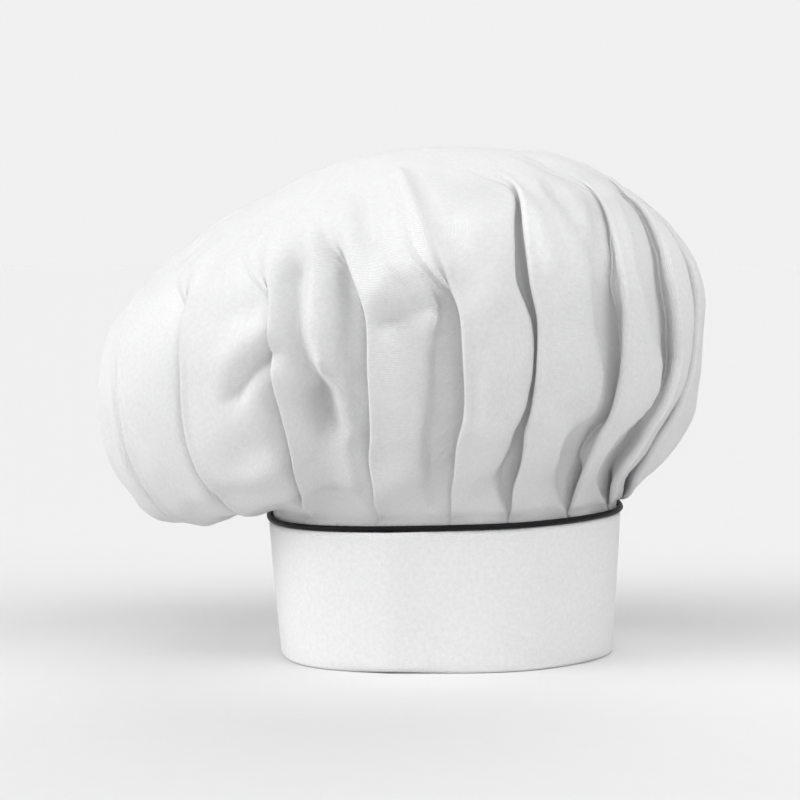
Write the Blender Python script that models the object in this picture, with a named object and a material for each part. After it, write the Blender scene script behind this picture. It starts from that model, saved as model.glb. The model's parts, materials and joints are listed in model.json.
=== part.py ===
"""Chef toque: a tall flared headband with a soft knife-pleated crown, piped seam and rear closure.

Units are metres and +Z is up. Every piece is modelled about the headband's vertical axis and
then placed at BAND_AXIS. Angles run anticlockwise seen from above, in degrees: 0 is the
wearer's left (+X), 90 the back (+Y), 180 the wearer's right (-X), 270 the front (-Y).
The hat rests on the fold at the headband's lower edge, at height 0.
"""
import math

import bmesh
import bpy
from mathutils import Vector

# ---------------------------------------------------------------- driving dimensions
CLEARANCE = 0.0003

BAND_AXIS = Vector((0.0268, 0.0, 0.0))
BAND_BOTTOM_RADIUS = 0.095
BAND_FLARE_SIDE = 0.0053
BAND_FLARE_LEAN = 0.0014
BAND_FLARE_DEPTH = 0.003
BAND_SQUARENESS = 2.6
BAND_SQUARENESS_SWING = 0.5
BAND_HEIGHT = 0.078
BAND_TILT = 0.0023
BAND_THICKNESS = 0.003
CLOTH_WALL = 0.0007

BAND_START = 66.0
BAND_END = 420.0
INTERLINING_END_GAP = 0.6
INTERLINING_DROP = 0.001
SEAM_START = 104.0
BINDING_END = 419.0

PIPING_RADIUS = 0.0016
PIPING_CORD_RADIUS = 0.0009
PIPING_WALL = 0.0004
PIPING_INSET = 0.0003
PIPING_SIDES = 8

CROWN_RIM_INSET = 0.0022
CROWN_THICKNESS = 0.001
CROWN_RIM_GAP = 0.0004
CROWN_NECK = 0.0045
VENT_RISE = 0.003
PLEAT_CREASES = (2, 28, 54, 81, 107, 133, 160, 186, 218, 247, 272, 292, 315, 340)
PLEAT_COLUMNS = (0.0, 0.25, 0.5, 0.75, 0.93)
CROWN_APEX = Vector((-0.0415, 0.0, 0.2812))

# Rings of the crown from neck to apex. Each gives (distance from the band's axis, height) at
# the right, front, left and back, then the pleats' depth and how square the ring still is.
CROWN_RINGS = (
    ((0.1035, 0.0895), (0.0995, 0.0890), (0.1045, 0.0835), (0.0995, 0.0890), 0.0010, 1.0),
    ((0.1135, 0.0975), (0.1050, 0.0980), (0.1210, 0.0785), (0.1050, 0.0980), 0.0030, 0.8),
    ((0.1250, 0.1090), (0.1130, 0.1090), (0.1380, 0.0728), (0.1130, 0.1100), 0.0060, 0.6),
    ((0.1335, 0.1230), (0.1220, 0.1240), (0.1570, 0.0735), (0.1220, 0.1260), 0.0075, 0.4),
    ((0.1405, 0.1410), (0.1310, 0.1390), (0.1730, 0.0810), (0.1310, 0.1420), 0.0080, 0.2),
    ((0.1450, 0.1760), (0.1450, 0.1730), (0.1930, 0.1080), (0.1440, 0.1760), 0.0080, 0.0),
    ((0.1425, 0.2110), (0.1510, 0.2070), (0.1985, 0.1440), (0.1500, 0.2100), 0.0060, 0.0),
    ((0.1236, 0.2435), (0.1430, 0.2390), (0.1915, 0.1800), (0.1420, 0.2400), 0.0035, 0.0),
    ((0.0965, 0.2660), (0.1190, 0.2600), (0.1715, 0.2085), (0.1180, 0.2600), 0.0015, 0.0),
    ((0.0640, 0.2810), (0.0890, 0.2720), (0.1446, 0.2323), (0.0890, 0.2720), 0.0, 0.0),
    ((0.0285, 0.2850), (0.0590, 0.2785), (0.1140, 0.2525), (0.0590, 0.2785), 0.0, 0.0),
    ((-0.0075, 0.2838), (0.0300, 0.2810), (0.0800, 0.2680), (0.0300, 0.2810), 0.0, 0.0),
)

BINDING_INSET = 0.0035
BINDING_THICKNESS = 0.0007
BINDING_BELOW = 0.008
BINDING_ABOVE = 0.004
HEM_HEIGHT = 0.006
HEM_END_GAP = 0.4
BARTACK_BELOW = 0.004
BARTACK_ABOVE = 0.003
BARTACK_ANGLE = 1.2
BARTACK_END_GAP = 0.3

THREAD = 0.0003
THREAD_WIDTH = 0.0006

FLAP_START = 60.6
FLAP_END = 107.0
FLAP_JOG_START = 60.9
FLAP_JOG_END = 65.6
FLAP_JOG_STEPS = 5
FLAP_ROOT_INSET = 0.0027
FLAP_STANDOFF = 0.0025
FLAP_THICKNESS = 0.0024
FLAP_HINGE_ANGLE = 60.3
FLAP_HINGE_STANDOFF = 0.0016
FLAP_BOTTOM = 0.0005

STRIP_THICKNESS = 0.0008
LOOP_STRIP = (80.0, 105.0)
HOOK_STRIP = (94.0, 104.6)
STRIP_LOW = 0.010
STRIP_HIGH = 0.068
STITCH_INSET = 0.002

LABEL_ANGLE = 140.0
LABEL_HALF_ANGLE = 8.4
LABEL_DROP = 0.0105
LABEL_HEIGHT = 0.020
LABEL_THICKNESS = 0.0005
LABEL_INSET = 0.0034

# ---------------------------------------------------------------- materials
MATERIALS = {
    "cotton": ((0.89, 0.89, 0.90), 0.85),
    "satin": ((0.012, 0.012, 0.014), 0.38),
    "cord": ((0.80, 0.78, 0.74), 0.90),
    "interlining": ((0.84, 0.84, 0.82), 0.95),
    "tape": ((0.87, 0.87, 0.88), 0.80),
    "thread": ((0.92, 0.92, 0.92), 0.60),
    "hook": ((0.86, 0.86, 0.86), 0.45),
    "loop": ((0.88, 0.88, 0.88), 0.95),
    "label": ((0.93, 0.93, 0.92), 0.40),
}


def make_material(name):
    """Return the named material: a Principled shader with one colour and roughness."""
    material = bpy.data.materials.get(name)
    if material is None:
        colour, roughness = MATERIALS[name]
        material = bpy.data.materials.new(name)
        material.use_nodes = True
        shader = material.node_tree.nodes["Principled BSDF"]
        shader.inputs["Base Color"].default_value = (*colour, 1.0)
        shader.inputs["Roughness"].default_value = roughness
        shader.inputs["Metallic"].default_value = 0.0
    return material


# ---------------------------------------------------------------- shape of the band
def smooth_step(value):
    """Ease from 0 to 1 as value goes from 0 to 1."""
    value = min(max(value, 0.0), 1.0)
    return value * value * (3.0 - 2.0 * value)


def radial(angle, distance, height):
    """Return the point at a distance from the band's axis in the direction of angle."""
    turn = math.radians(angle)
    return Vector((distance * math.cos(turn), distance * math.sin(turn), height))


def squareness(angle):
    """Return the reach of a unit superellipse, which rounds the band's plan towards a square."""
    turn = math.radians(angle)
    power = BAND_SQUARENESS + BAND_SQUARENESS_SWING * math.sin(2.0 * turn)
    return (abs(math.cos(turn)) ** power + abs(math.sin(turn)) ** power) ** (-1.0 / power)


def band_top(angle):
    """Return the height of the band's upper edge, which is a little higher on the right."""
    return BAND_HEIGHT + BAND_TILT * math.cos(math.radians(angle))


def band_radius(angle, height):
    """Return the distance from the axis to the band's outer face."""
    turn = math.radians(angle)
    power = BAND_SQUARENESS + BAND_SQUARENESS_SWING * math.sin(2.0 * turn)
    flare = min(max(height / band_top(angle), 0.0), 1.0)
    side = BAND_BOTTOM_RADIUS + flare * (BAND_FLARE_SIDE - BAND_FLARE_LEAN * math.cos(turn))
    depth = BAND_BOTTOM_RADIUS + flare * BAND_FLARE_DEPTH
    across = abs(math.cos(turn) / side) ** power + abs(math.sin(turn) / depth) ** power
    return across ** (-1.0 / power)


def column_angles():
    """Return the angles of the crown's columns, which every swept piece shares."""
    angles = []
    following = PLEAT_CREASES[1:] + (PLEAT_CREASES[0] + 360.0,)
    for crease, next_crease in zip(PLEAT_CREASES, following):
        angles += [crease + share * (next_crease - crease) for share in PLEAT_COLUMNS]
    return angles


def stations(start, end, margin=0.8):
    """Return start, the shared column angles between start and end, and end."""
    shared = sorted(angle + turn for angle in column_angles() for turn in (-360.0, 0.0, 360.0))
    inside = [angle for angle in shared if start + margin < angle < end - margin]
    return [start, *inside, end]


# ---------------------------------------------------------------- mesh builders
def add_piece(name, points, faces, material, pivot=None):
    """Make one named object from points about the band's axis, hung on its pivot's empty."""
    if pivot is None:
        pivot = PIVOTS["band_axis"]
    offset = pivot.location - BAND_AXIS
    mesh = bpy.data.meshes.new(name)
    mesh.from_pydata([point - offset for point in points], [], faces)
    piece = bpy.data.objects.new(name, mesh)
    bpy.context.scene.collection.objects.link(piece)
    piece.parent = pivot
    shell = bmesh.new()
    shell.from_mesh(mesh)
    bmesh.ops.recalc_face_normals(shell, faces=shell.faces)
    shell.to_mesh(mesh)
    shell.free()
    mesh.shade_smooth()
    mesh.set_sharp_from_angle(angle=math.radians(35.0))
    mesh.materials.append(make_material(material))
    return piece


def sweep(name, angles, section, material, pivot=None):
    """Sweep a closed section of points round the band and cap both ends."""
    rows = [section(angle) for angle in angles]
    size = len(rows[0])
    points = [point for row in rows for point in row]
    faces = [tuple(range(size)), tuple(range(len(points) - size, len(points)))]
    for row in range(len(rows) - 1):
        for column in range(size):
            following = (column + 1) % size
            low, high = row * size, (row + 1) * size
            faces.append((low + column, low + following, high + following, high + column))
    return add_piece(name, points, faces, material, pivot)


def strip_section(inner, outer, low, high):
    """Return a section function for a flat strip between two offsets from the band's face.

    Each limit is a function of the angle. The two faces follow the band's flare.
    """

    def section(angle):
        bottom, top = low(angle), high(angle)
        foot, head = band_radius(angle, bottom), band_radius(angle, top)
        return [
            radial(angle, foot + outer(angle), bottom),
            radial(angle, head + outer(angle), top),
            radial(angle, head + inner(angle), top),
            radial(angle, foot + inner(angle), bottom),
        ]

    return section


def constant(value):
    """Return a function that gives the same value at every angle."""
    return lambda angle: value


def below_top(drop):
    """Return a function giving the height at a drop below the band's upper edge."""
    return lambda angle: band_top(angle) - drop


def stitched_rectangle(name, angle_limits, low, high, inner, material, pivot=None):
    """Make a closed rectangle of thread lying on the band's face."""
    start, end = angle_limits
    across = stations(start, end)
    inset = math.degrees(THREAD_WIDTH / BAND_BOTTOM_RADIUS)

    def loop(grow, standoff):
        """Return one edge loop of the rectangle, shrunk by grow threads."""
        corners = []
        for rising in (False, True):
            run = reversed(across) if rising else across
            for angle in run:
                clipped = min(max(angle, start + grow * inset), end - grow * inset)
                height = high - grow * THREAD_WIDTH if rising else low + grow * THREAD_WIDTH
                corners.append(
                    radial(clipped, band_radius(clipped, height) + standoff(clipped), height)
                )
        return corners

    def outer(angle):
        return inner(angle) + THREAD

    loops = (loop(0, inner), loop(0, outer), loop(1, outer), loop(1, inner))
    size = len(loops[0])
    points = [point for edge in loops for point in edge]
    faces = []
    for side in range(4):
        for column in range(size):
            following = (column + 1) % size
            here, there = side * size, (side + 1) % 4 * size
            faces.append((here + column, here + following, there + following, there + column))
    return add_piece(name, points, faces, material, pivot)


def piping_section(radius, offset, height, wall=None):
    """Return a section for a round cord, or for a C-shaped cloth cover open below."""

    def section(angle):
        centre = band_radius(angle, band_top(angle)) + offset(angle)
        level = height(angle)
        if wall is None:
            turns = [360.0 * side / PIPING_SIDES for side in range(PIPING_SIDES)]
            rim = [(radius, turn) for turn in turns]
        else:
            turns = [-80.0 + 340.0 * side / PIPING_SIDES for side in range(PIPING_SIDES + 1)]
            rim = [(radius, turn) for turn in turns]
            rim += [(radius - wall, turn) for turn in reversed(turns)]
        return [
            radial(
                angle,
                centre + reach * math.cos(math.radians(turn)),
                level + reach * math.sin(math.radians(turn)),
            )
            for reach, turn in rim
        ]

    return section


# ---------------------------------------------------------------- crown
def catmull_rom(values, position):
    """Interpolate a list of numbers smoothly at a fractional index."""
    last = len(values) - 1
    index = min(int(position), last - 1)
    share = position - index
    before = values[max(index - 1, 0)]
    here, there = values[index], values[index + 1]
    after = values[min(index + 2, last)]
    return 0.5 * (
        2.0 * here
        + (there - before) * share
        + (2.0 * before - 5.0 * here + 4.0 * there - after) * share**2
        + (3.0 * here - before - 3.0 * there + after) * share**3
    )


def crown_ring_values(position):
    """Return the eight outline numbers, the pleat depth and the squareness of a ring."""
    flat = [
        [number for place in ring[:4] for number in place] + list(ring[4:]) for ring in CROWN_RINGS
    ]
    return [catmull_rom(column, position) for column in zip(*flat)]


def crown_base(angle, position):
    """Return the crown's outer face without its pleats at one angle and ring position."""
    values = crown_ring_values(position)
    right, right_z, front, front_z, left, left_z, back, back_z, _, square = values
    turn = math.radians(angle)
    corner = squareness(angle) ** square
    height = (
        (right_z + front_z + left_z + back_z) / 4.0
        + (right_z - left_z) / 2.0 * math.cos(turn)
        + (back_z - front_z) / 2.0 * math.sin(turn)
        + (right_z + left_z - front_z - back_z) / 4.0 * math.cos(2.0 * turn)
    )
    return Vector(
        (
            (right - left) / 2.0 + (right + left) / 2.0 * math.cos(turn) * corner,
            (back - front) / 2.0 + (back + front) / 2.0 * math.sin(turn) * corner,
            height,
        )
    )


def crown_normal(angle, position):
    """Return the unit vector pointing out of the crown's face."""
    last = len(CROWN_RINGS) - 1.0
    low, high = max(position - 0.05, 0.0), min(position + 0.05, last)
    along = crown_base(angle, high) - crown_base(angle, low)
    around = crown_base(angle + 1.0, position) - crown_base(angle - 1.0, position)
    return around.cross(along).normalized()


def pleat_depth(column):
    """Return how far into its pleat a column lies, from 0 on the crease to 1 under the next."""
    share = PLEAT_COLUMNS[column % len(PLEAT_COLUMNS)]
    return share / PLEAT_COLUMNS[-1]


def vent_rise(angle):
    """Return how far the crown's edge arches above the band over the rear vent."""
    share = (angle % 360.0 - FLAP_START) / (SEAM_START - FLAP_START)
    return VENT_RISE * math.sin(math.pi * share) if 0.0 < share < 1.0 else 0.0


def crown_rows(inset):
    """Return the crown's rows of points, rim first, moved in from its outer face by inset."""
    angles = column_angles()
    rows = []
    for climb in (0.0, CROWN_NECK):
        row = []
        for angle in angles:
            reach = band_radius(angle, band_top(angle)) - CROWN_RIM_INSET - inset
            rise = max(vent_rise(angle), climb)
            row.append(radial(angle, reach, band_top(angle) + CROWN_RIM_GAP + rise))
        rows.append(row)
    for ring in range(len(CROWN_RINGS)):
        depth = CROWN_RINGS[ring][4]
        row = []
        for column, angle in enumerate(angles):
            sunk = inset + depth * pleat_depth(column)
            row.append(crown_base(angle, ring) - crown_normal(angle, ring) * sunk)
        rows.append(row)
    return rows


def build_crown():
    """Build the pleated crown: one shell, open at its rim."""
    outer, inner = crown_rows(0.0), crown_rows(CROWN_THICKNESS)
    size = len(outer[0])
    points, faces = [], []
    for rows in (outer, inner):
        base = len(points)
        points += [point for row in rows for point in row]
        for row in range(len(rows) - 1):
            for column in range(size):
                following = (column + 1) % size
                low, high = base + row * size, base + (row + 1) * size
                faces.append((low + column, low + following, high + following, high + column))
    apexes = []
    for start, depth in ((0, 0.0), (len(outer) * size, CROWN_THICKNESS)):
        apexes.append(len(points))
        points.append(CROWN_APEX - Vector((0.0, 0.0, depth)))
        last_row = start + (len(outer) - 1) * size
        for column in range(size):
            following = (column + 1) % size
            faces.append((last_row + column, last_row + following, apexes[-1]))
    inner_rim = len(outer) * size
    for column in range(size):
        following = (column + 1) % size
        faces.append((column, following, inner_rim + following, inner_rim + column))
    add_piece("crown", points, faces, "cotton")


# ---------------------------------------------------------------- headband and seam
def build_headband():
    """Build the folded cloth band and the stiff interlining inside its fold."""

    def folded_section(angle):
        top = band_top(angle)
        walls = (0.0, CLOTH_WALL, BAND_THICKNESS - CLOTH_WALL, BAND_THICKNESS)
        corners = [
            (walls[0], 0.0),
            (walls[0], top),
            (walls[1], top),
            (walls[1], CLOTH_WALL),
            (walls[2], CLOTH_WALL),
            (walls[2], top),
            (walls[3], top),
            (walls[3], 0.0),
        ]
        return [radial(angle, band_radius(angle, z) - inset, z) for inset, z in corners]

    sweep("headband", stations(BAND_START, BAND_END), folded_section, "cotton")
    slot = CLOTH_WALL + CLEARANCE
    stiffener = strip_section(
        constant(slot - BAND_THICKNESS),
        constant(-slot),
        constant(slot),
        below_top(INTERLINING_DROP),
    )
    inside = stations(BAND_START + INTERLINING_END_GAP, BAND_END - INTERLINING_END_GAP)
    sweep("band_interlining", inside, stiffener, "interlining")


def build_piping(prefix, angles, offset, pivot=None):
    """Build a cloth-covered cord lying on the upper edge of the band or the flap."""

    def level(angle):
        return band_top(angle) + CLEARANCE + PIPING_RADIUS

    cover = piping_section(PIPING_RADIUS, offset, level, wall=PIPING_WALL)
    cord = piping_section(PIPING_CORD_RADIUS, offset, level)
    sweep(prefix + "_cover", angles, cover, "satin", pivot)
    sweep(prefix + "_cord", angles, cord, "cord", pivot)


def build_seam():
    """Build the piping, the inside binding over the crown seam and the binding's stitching."""
    seam = stations(SEAM_START, BAND_END)
    build_piping("piping", seam, constant(-PIPING_INSET))
    binding_face = BINDING_INSET + BINDING_THICKNESS
    binding = strip_section(
        constant(-binding_face),
        constant(-BINDING_INSET),
        below_top(BINDING_BELOW),
        below_top(-BINDING_ABOVE),
    )
    sweep("crown_seam_binding", stations(SEAM_START, BINDING_END), binding, "tape")
    thread_face = binding_face + CLEARANCE
    thread = strip_section(
        constant(-thread_face - THREAD),
        constant(-thread_face),
        below_top(BINDING_BELOW - STITCH_INSET),
        below_top(BINDING_BELOW - STITCH_INSET - THREAD_WIDTH),
    )
    run = stations(SEAM_START + 2.0 * BARTACK_ANGLE, BINDING_END - 2.0 * BARTACK_ANGLE)
    sweep("crown_seam_stitching", run, thread, "thread")
    tack = strip_section(
        constant(-thread_face - THREAD_WIDTH),
        constant(-thread_face),
        below_top(BARTACK_BELOW),
        below_top(-BARTACK_ABOVE),
    )
    for side, start in (
        ("right", SEAM_START + BARTACK_END_GAP),
        ("left", BINDING_END - BARTACK_END_GAP - BARTACK_ANGLE),
    ):
        sweep("vent_bartack_" + side, [start, start + BARTACK_ANGLE], tack, "thread")


def build_vent_hem():
    """Build the turned hem along the crown's free edge over the rear vent."""

    def low(angle):
        return band_top(angle) + CROWN_RIM_GAP + vent_rise(angle)

    def high(angle):
        return low(angle) + HEM_HEIGHT - VENT_RISE

    hem = strip_section(
        constant(-BINDING_INSET - BINDING_THICKNESS), constant(-BINDING_INSET), low, high
    )
    sweep("vent_hem", stations(FLAP_START, SEAM_START - HEM_END_GAP), hem, "cotton")


# ---------------------------------------------------------------- rear closure
def jog_share(angle):
    """Return how far the flap has stepped out over the band's end, from 0 to 1."""
    return smooth_step((angle - FLAP_JOG_START) / (FLAP_JOG_END - FLAP_JOG_START))


def flap_jog(angle):
    """Return how far the flap's inner face stands off the band's outer face."""
    return -FLAP_ROOT_INSET + (FLAP_STANDOFF + FLAP_ROOT_INSET) * jog_share(angle)


def flap_piping_offset(angle):
    """Return how far the flap's piping stands off the band's outer face."""
    flap_middle = FLAP_STANDOFF + FLAP_THICKNESS / 2.0
    return -PIPING_INSET + (flap_middle + PIPING_INSET) * jog_share(angle)


def build_closure():
    """Build the overlapping flap, its piping, its hook strip and the band's loop strip."""
    hinge = PIVOTS["closure_flap_hinge"]
    jog_width = (FLAP_JOG_END - FLAP_JOG_START) / FLAP_JOG_STEPS
    jog_steps = [FLAP_JOG_START + step * jog_width for step in range(FLAP_JOG_STEPS + 1)]
    angles = [FLAP_START, *jog_steps, *stations(FLAP_JOG_END, FLAP_END)[1:]]
    flap = strip_section(
        flap_jog,
        lambda angle: flap_jog(angle) + FLAP_THICKNESS,
        constant(FLAP_BOTTOM),
        below_top(0.0),
    )
    sweep("closure_flap", angles, flap, "cotton", hinge)
    build_piping("flap_piping", angles, flap_piping_offset, hinge)
    hook_inner = FLAP_STANDOFF - CLEARANCE - STRIP_THICKNESS
    hook = strip_section(
        constant(hook_inner),
        constant(hook_inner + STRIP_THICKNESS),
        constant(STRIP_LOW),
        constant(STRIP_HIGH),
    )
    sweep("hook_strip", stations(*HOOK_STRIP), hook, "hook", hinge)
    loop = strip_section(
        constant(CLEARANCE),
        constant(CLEARANCE + STRIP_THICKNESS),
        constant(STRIP_LOW),
        constant(STRIP_HIGH),
    )
    sweep("loop_strip", stations(*LOOP_STRIP), loop, "loop")
    inset = math.degrees(STITCH_INSET / BAND_BOTTOM_RADIUS)
    flap_face = constant(FLAP_STANDOFF + FLAP_THICKNESS + CLEARANCE)
    band_lining = constant(-BAND_THICKNESS - CLEARANCE - THREAD)
    low, high = STRIP_LOW + STITCH_INSET, STRIP_HIGH - STITCH_INSET
    for name, limits, face, pivot in (
        ("hook_strip_stitching", HOOK_STRIP, flap_face, hinge),
        ("loop_strip_stitching", LOOP_STRIP, band_lining, None),
    ):
        reach = (limits[0] + inset, limits[1] - inset)
        stitched_rectangle(name, reach, low, high, face, "thread", pivot)
    edge = (FLAP_JOG_END + inset, FLAP_END - inset)
    top = BAND_HEIGHT - BAND_TILT - STITCH_INSET
    stitched_rectangle(
        "flap_edge_stitching", edge, 2.0 * STITCH_INSET, top, flap_face, "thread", hinge
    )


# ---------------------------------------------------------------- care label
def build_label():
    """Build the blank care label that hangs by its upper edge inside the band."""
    hinge = PIVOTS["care_label_hinge"]
    label = strip_section(
        constant(-LABEL_INSET - LABEL_THICKNESS),
        constant(-LABEL_INSET),
        below_top(LABEL_DROP + LABEL_HEIGHT),
        below_top(LABEL_DROP),
    )
    start, end = LABEL_ANGLE - LABEL_HALF_ANGLE, LABEL_ANGLE + LABEL_HALF_ANGLE
    sweep("care_label", stations(start, end), label, "label", hinge)
    face = LABEL_INSET + LABEL_THICKNESS + CLEARANCE
    thread = strip_section(
        constant(-face - THREAD),
        constant(-face),
        below_top(LABEL_DROP + STITCH_INSET + THREAD_WIDTH),
        below_top(LABEL_DROP + STITCH_INSET),
    )
    inset = math.degrees(STITCH_INSET / BAND_BOTTOM_RADIUS)
    run = stations(start + inset, end - inset)
    sweep("care_label_stitching", run, thread, "thread", hinge)


# ---------------------------------------------------------------- assembly
def clear_scene():
    """Remove every object so that the model starts from nothing."""
    for item in list(bpy.data.objects):
        bpy.data.objects.remove(item, do_unlink=True)


def make_pivots():
    """Make the empties that carry the pieces: the band's axis and the two hinges."""
    hang = band_top(LABEL_ANGLE) - LABEL_DROP
    label_face = LABEL_INSET + LABEL_THICKNESS
    label_reach = math.cos(math.radians(LABEL_HALF_ANGLE)) * min(
        band_radius(LABEL_ANGLE + side * LABEL_HALF_ANGLE, hang) - label_face for side in (-1, 1)
    )
    flap_reach = band_radius(FLAP_HINGE_ANGLE, BAND_HEIGHT) + FLAP_HINGE_STANDOFF
    places = {
        "band_axis": Vector((0.0, 0.0, 0.0)),
        "closure_flap_hinge": radial(FLAP_HINGE_ANGLE, flap_reach, BAND_HEIGHT / 2.0),
        "care_label_hinge": radial(LABEL_ANGLE, label_reach, hang),
    }
    pivots = {}
    for name, place in places.items():
        pivot = bpy.data.objects.new(name, None)
        pivot.location = BAND_AXIS + place
        pivot.hide_render = True
        bpy.context.scene.collection.objects.link(pivot)
        pivots[name] = pivot
    return pivots


clear_scene()
PIVOTS = make_pivots()
build_headband()
build_seam()
build_vent_hem()
build_crown()
build_closure()
build_label()
bpy.context.view_layer.update()
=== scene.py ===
"""Chef toque: the looks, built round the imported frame.

Shapes are worked out in millimetres about the headband's axis, +Z up, and placed in metres.
Angles are bearings in degrees, anticlockwise from above: 0 right, 90 back, 180 left, 270 front.
A crown level counts rings up from the seam: 0 the rim, 1 the neck, then one for each ring.
"""
import json
import math

import bmesh
import bpy
import numpy as np
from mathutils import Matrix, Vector, noise


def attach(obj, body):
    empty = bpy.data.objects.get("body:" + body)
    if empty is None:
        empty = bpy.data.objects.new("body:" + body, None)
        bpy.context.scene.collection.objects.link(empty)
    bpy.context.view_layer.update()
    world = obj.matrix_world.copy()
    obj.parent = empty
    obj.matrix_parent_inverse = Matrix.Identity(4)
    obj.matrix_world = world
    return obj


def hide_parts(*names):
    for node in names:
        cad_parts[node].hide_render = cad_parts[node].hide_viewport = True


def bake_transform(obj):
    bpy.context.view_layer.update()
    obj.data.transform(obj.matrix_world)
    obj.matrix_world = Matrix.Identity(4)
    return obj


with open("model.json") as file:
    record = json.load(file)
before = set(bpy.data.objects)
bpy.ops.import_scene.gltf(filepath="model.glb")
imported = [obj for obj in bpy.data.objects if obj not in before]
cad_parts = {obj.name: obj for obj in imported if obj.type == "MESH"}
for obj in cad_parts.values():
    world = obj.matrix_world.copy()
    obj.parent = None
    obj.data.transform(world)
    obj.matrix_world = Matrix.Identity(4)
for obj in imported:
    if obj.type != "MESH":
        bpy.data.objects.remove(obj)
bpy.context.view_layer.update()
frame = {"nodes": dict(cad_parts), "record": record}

MM = 0.001
AXIS = np.array([frame["record"]["mounts"][0]["pos_m"][0], 0, 0])
CLOTH = 0.35
CLEARANCE = 0.3

# ---- headband plan
BAND_BOTTOM_RADIUS = 95
BAND_FLARE_SIDE = 5.3
BAND_FLARE_LEAN = 1.4
BAND_FLARE_DEPTH = 3
BAND_SQUARENESS = 2.6
BAND_SQUARENESS_SWING = 0.5
BAND_HEIGHT = 78
BAND_HALF_WAY = 40
BAND_TILT = 2.3
BAND_THICKNESS = 3
BAND_START, BAND_END = 66, 420
SEAM_START, BINDING_END = 104, 419
FLAP_START, FLAP_END = 60.6, 107


def smooth(value):
    """Ease from 0 to 1 as value goes from 0 to 1."""
    value = np.clip(value, 0, 1)
    return value * value * (3 - 2 * value)


def radial(angle, distance, height):
    """The point at a bearing, a distance from the band's axis and a height."""
    turn = np.radians(angle)
    return np.stack(np.broadcast_arrays(distance * np.cos(turn), distance * np.sin(turn), height),
                    -1)


def superellipse(angle, side=1, depth=1):
    """Reach of the band's plan, a superellipse rounded towards a square."""
    turn = np.radians(angle)
    power = BAND_SQUARENESS + BAND_SQUARENESS_SWING * np.sin(2 * turn)
    across = np.abs(np.cos(turn) / side) ** power + np.abs(np.sin(turn) / depth) ** power
    return across ** (-1 / power)


def band_top(angle):
    return BAND_HEIGHT + BAND_TILT * np.cos(np.radians(angle))


def band_radius(angle, height):
    """Distance from the axis to the band's outer face."""
    flare = np.clip(height / band_top(angle), 0, 1)
    lean = BAND_FLARE_LEAN * np.cos(np.radians(angle))
    return superellipse(angle, BAND_BOTTOM_RADIUS + flare * (BAND_FLARE_SIDE - lean),
                        BAND_BOTTOM_RADIUS + flare * BAND_FLARE_DEPTH)


def band_point(angle, standoff, height):
    """A point standing off the band's outer face."""
    return radial(angle, band_radius(angle, height) + standoff, height)


# ---- mesh helpers
def add_object(name, data):
    thing = bpy.data.objects.new(name, data)
    bpy.context.scene.collection.objects.link(thing)
    return thing


def add_mesh(name, points, faces, cloth):
    """Make an object from points about the band's axis and their cloth coordinates."""
    mesh = bpy.data.meshes.new(name)
    mesh.from_pydata((np.asarray(points).reshape(-1, 3) * MM + AXIS).tolist(), [], faces)
    flat = np.zeros((len(mesh.vertices), 3), np.float32)
    flat[:, :2] = np.asarray(cloth).reshape(-1, 2) * MM
    layer = mesh.attributes.new("cloth", "FLOAT_VECTOR", "POINT")
    layer.data.foreach_set("vector", flat.ravel())
    mesh.shade_smooth()
    return add_object(name, mesh)


def grid_faces(rows, columns, round_columns=False):
    """Quads over rows of points, each row open or closed on itself."""
    faces = []
    for row in range(rows - 1):
        low, high = row * columns, (row + 1) * columns
        for column in range(columns if round_columns else columns - 1):
            right = (column + 1) % columns
            faces.append((low + column, low + right, high + right, high + column))
    return faces


def face_outwards(piece):
    shell = bmesh.new()
    shell.from_mesh(piece.data)
    bmesh.ops.recalc_face_normals(shell, faces=shell.faces)
    shell.to_mesh(piece.data)
    shell.free()


def thicken(piece, thickness, towards=-1):
    """Give a sheet real thickness, and leave no modifier on it."""
    solid = piece.modifiers.new("thickness", "SOLIDIFY")
    solid.thickness = thickness * MM
    solid.offset = towards
    solid.use_even_offset = False
    bpy.context.view_layer.update()
    ready = piece.evaluated_get(bpy.context.evaluated_depsgraph_get())
    mesh = bpy.data.meshes.new_from_object(ready)
    mesh.name = piece.name
    piece.modifiers.clear()
    piece.data = mesh


def sweep(name, angles, section, sheet=False):
    """Sweep a section round the band into a closed solid, or into a sheet of cloth.

    section(angle) gives the points and their cloth coordinates.
    """
    rows, cloth = zip(*(section(angle) for angle in angles))
    count, size = len(rows), len(rows[0])
    faces = grid_faces(count, size, round_columns=not sheet)
    if not sheet:
        faces += [tuple(range(size)), tuple(range((count - 1) * size, count * size))]
    piece = add_mesh(name, np.array(rows), faces, np.array(cloth))
    face_outwards(piece)
    if sheet:
        thicken(piece, CLOTH, towards=0)
    return piece


def steps(start, end, size):
    return np.linspace(start, end, max(2, round(abs(end - start) / size) + 1))


def running_length(places):
    """The distance along a line of points, at each of them."""
    return np.concatenate([[0], np.cumsum(np.linalg.norm(np.diff(places, axis=0), axis=1))])


def arc_length(angle):
    """Distance round the band from bearing 0, which cloth coordinates are measured by."""
    return np.interp(angle, ARC_ANGLES, ARC_AT)


ARC_ANGLES = np.linspace(0, 480, 961)
ARC_AT = running_length(band_point(ARC_ANGLES, 0, BAND_HALF_WAY))


def soft_noise(*place):
    """Smooth noise between about -1 and 1."""
    return noise.noise(Vector(place))


def unevenness(points, waves):
    """Soft waves, each with its height, its sizes round and up the hat, and its seed."""
    total = 0
    for height, across, along, seed in waves:
        scaled = points / np.array([across, across, along]) + seed
        total = total + height * np.array([soft_noise(*place) for place in scaled])
    return total


# ---- crown surface
CROWN_RIM_INSET = 2.2
CROWN_RIM_GAP = 0.4
CROWN_NECK = 5.5
VENT_RISE = 3
CROWN_APEX = (-41.5, 0, 281.2)
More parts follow.
